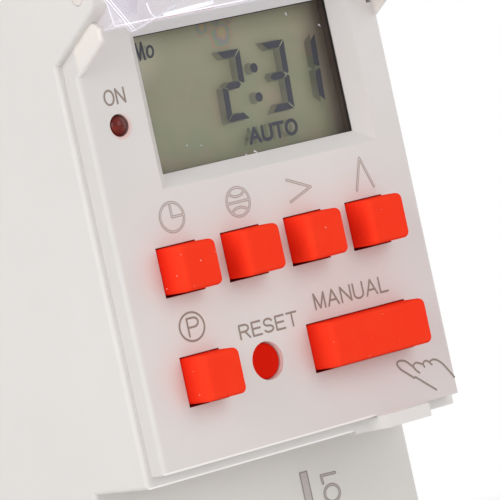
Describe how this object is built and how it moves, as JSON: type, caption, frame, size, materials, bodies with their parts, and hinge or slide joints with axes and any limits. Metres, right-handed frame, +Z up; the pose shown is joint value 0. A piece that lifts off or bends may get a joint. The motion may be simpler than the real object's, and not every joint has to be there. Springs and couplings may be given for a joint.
{
  "type": "digital timer switch",
  "caption": "Rail mounted digital timer switch with a liquid crystal display, red push keys, screw terminals and a hinged clear cover.",
  "frame": {"origin": "centre of the rail seat face, on the rail's centre line and midway across the width", "axes": "+X across the width to the right of someone facing the keys, +Y back into the rail, +Z up along the device as it is mounted"},
  "size_m": [0.036, 0.1058, 0.088],
  "materials": {
    "housing": "satin moulded",
    "face": "fine satin",
    "clear_plastic": "polished clear polystyrene",
    "latch": "satin moulded",
    "spring_steel": "drawn wire",
    "lcd": "gloss glass over a grey green reflector",
    "inner_frame": "moulded black",
    "contact_rubber": "soft",
    "led_red": "tinted dome",
    "board": "solder mask",
    "battery_steel": "nickel plated can",
    "chip": "moulded epoxy",
    "can_metal": "drawn can",
    "pin_brass": "tinned pins",
    "relay_case": "moulded case",
    "film_case": "potted case",
    "disc_ceramic": "coated disc",
    "switch_case": "moulded case",
    "contact_brass": "stamped strip",
    "clamp_steel": "zinc plated cage",
    "zinc_steel": "zinc plated",
    "key_red": "semi gloss moulded",
    "plunger": "moulded"
  },
  "bodies": {
    "base": {"front_housing": "housing", "base_housing": "housing", "case_screws": "zinc_steel", "face_plate": "face", "lcd_glass": "lcd", "lcd_holder": "inner_frame", "contact_strips": "contact_rubber", "led_indicator": "led_red", "display_board": "board", "power_board": "board", "backup_battery": "battery_steel", "controller_chip": "chip", "crystal": "can_metal", "board_link": "pin_brass", "relay": "relay_case", "film_capacitor": "film_case", "electrolytic_capacitors": "can_metal", "surge_disc": "disc_ceramic", "switch_bodies": "switch_case", "latch_spring": "spring_steel", "contact_bar_1": "contact_brass", "contact_bar_2": "contact_brass", "contact_bar_3": "contact_brass", "contact_bar_4": "contact_brass", "contact_bar_5": "contact_brass"},
    "cover": {"clear_cover": "clear_plastic"},
    "latch": {"din_latch": "latch"},
    "key_clock_body": {"key_clock": "key_red", "plunger_clock": "plunger"},
    "key_week_body": {"key_week": "key_red", "plunger_week": "plunger"},
    "key_hour_body": {"key_hour": "key_red", "plunger_hour": "plunger"},
    "key_minute_body": {"key_minute": "key_red", "plunger_minute": "plunger"},
    "key_program_body": {"key_program": "key_red", "plunger_program": "plunger"},
    "key_manual_body": {"key_manual": "key_red", "plunger_manual": "plunger"},
    "key_reset_body": {"key_reset": "key_red", "plunger_reset": "plunger"},
    "screw_1": {"terminal_screw_1": "zinc_steel"},
    "clamp_1": {"terminal_clamp_1": "clamp_steel"},
    "screw_2": {"terminal_screw_2": "zinc_steel"},
    "clamp_2": {"terminal_clamp_2": "clamp_steel"},
    "screw_3": {"terminal_screw_3": "zinc_steel"},
    "clamp_3": {"terminal_clamp_3": "clamp_steel"},
    "screw_4": {"terminal_screw_4": "zinc_steel"},
    "clamp_4": {"terminal_clamp_4": "clamp_steel"},
    "screw_5": {"terminal_screw_5": "zinc_steel"},
    "clamp_5": {"terminal_clamp_5": "clamp_steel"}
  },
  "joints": [
    {"name": "cover_hinge", "type": "hinge", "parent": "base", "child": "cover", "pos_m": [0, -0.0573, 0.0204], "axis": [1, 0, 0], "range_deg": [0, 101.5]},
    {"name": "key_clock_press", "type": "slide", "parent": "base", "child": "key_clock_body", "axis": [0, 1, 0], "range_m": [0, 0.0007], "stiffness_N_per_m": 300, "springref_m": -0.0003},
    {"name": "key_week_press", "type": "slide", "parent": "base", "child": "key_week_body", "axis": [0, 1, 0], "range_m": [0, 0.0007], "stiffness_N_per_m": 300, "springref_m": -0.0003},
    {"name": "key_hour_press", "type": "slide", "parent": "base", "child": "key_hour_body", "axis": [0, 1, 0], "range_m": [0, 0.0007], "stiffness_N_per_m": 300, "springref_m": -0.0003},
    {"name": "key_minute_press", "type": "slide", "parent": "base", "child": "key_minute_body", "axis": [0, 1, 0], "range_m": [0, 0.0007], "stiffness_N_per_m": 300, "springref_m": -0.0003},
    {"name": "key_program_press", "type": "slide", "parent": "base", "child": "key_program_body", "axis": [0, 1, 0], "range_m": [0, 0.0007], "stiffness_N_per_m": 300, "springref_m": -0.0003},
    {"name": "key_manual_press", "type": "slide", "parent": "base", "child": "key_manual_body", "axis": [0, 1, 0], "range_m": [0, 0.0007], "stiffness_N_per_m": 300, "springref_m": -0.0003},
    {"name": "key_reset_press", "type": "slide", "parent": "base", "child": "key_reset_body", "axis": [0, 1, 0], "range_m": [0, 0.0007], "stiffness_N_per_m": 300, "springref_m": -0.0003},
    {"name": "latch_slide", "type": "slide", "parent": "base", "child": "latch", "axis": [0, 0, -1], "range_m": [0, 0.004], "stiffness_N_per_m": 500, "springref_m": -0.001, "deforming": ["latch_spring"]},
    {"name": "screw_1_turn", "type": "hinge", "parent": "base", "child": "screw_1", "pos_m": [-0.011, -0.0403, 0.036], "axis": [0, 1, 0], "range_deg": [0, 1543]},
    {"name": "clamp_1_lift", "type": "slide", "parent": "base", "child": "clamp_1", "axis": [0, -1, 0], "range_m": [0, 0.003]},
    {"name": "screw_2_turn", "type": "hinge", "parent": "base", "child": "screw_2", "pos_m": [0.011, -0.0403, 0.036], "axis": [0, 1, 0], "range_deg": [0, 1543]},
    {"name": "clamp_2_lift", "type": "slide", "parent": "base", "child": "clamp_2", "axis": [0, -1, 0], "range_m": [0, 0.003]},
    {"name": "screw_3_turn", "type": "hinge", "parent": "base", "child": "screw_3", "pos_m": [-0.011, -0.0403, -0.036], "axis": [0, 1, 0], "range_deg": [0, 1543]},
    {"name": "clamp_3_lift", "type": "slide", "parent": "base", "child": "clamp_3", "axis": [0, -1, 0], "range_m": [0, 0.003]},
    {"name": "screw_4_turn", "type": "hinge", "parent": "base", "child": "screw_4", "pos_m": [0, -0.0403, -0.036], "axis": [0, 1, 0], "range_deg": [0, 1543]},
    {"name": "clamp_4_lift", "type": "slide", "parent": "base", "child": "clamp_4", "axis": [0, -1, 0], "range_m": [0, 0.003]},
    {"name": "screw_5_turn", "type": "hinge", "parent": "base", "child": "screw_5", "pos_m": [0.011, -0.0403, -0.036], "axis": [0, 1, 0], "range_deg": [0, 1543]},
    {"name": "clamp_5_lift", "type": "slide", "parent": "base", "child": "clamp_5", "axis": [0, -1, 0], "range_m": [0, 0.003]}
  ],
  "couplings": [
    {"joint": "screw_1_turn", "follows": "clamp_1_lift", "rad_per_m": 8976},
    {"joint": "screw_2_turn", "follows": "clamp_2_lift", "rad_per_m": 8976},
    {"joint": "screw_3_turn", "follows": "clamp_3_lift", "rad_per_m": 8976},
    {"joint": "screw_4_turn", "follows": "clamp_4_lift", "rad_per_m": 8976},
    {"joint": "screw_5_turn", "follows": "clamp_5_lift", "rad_per_m": 8976}
  ]
}
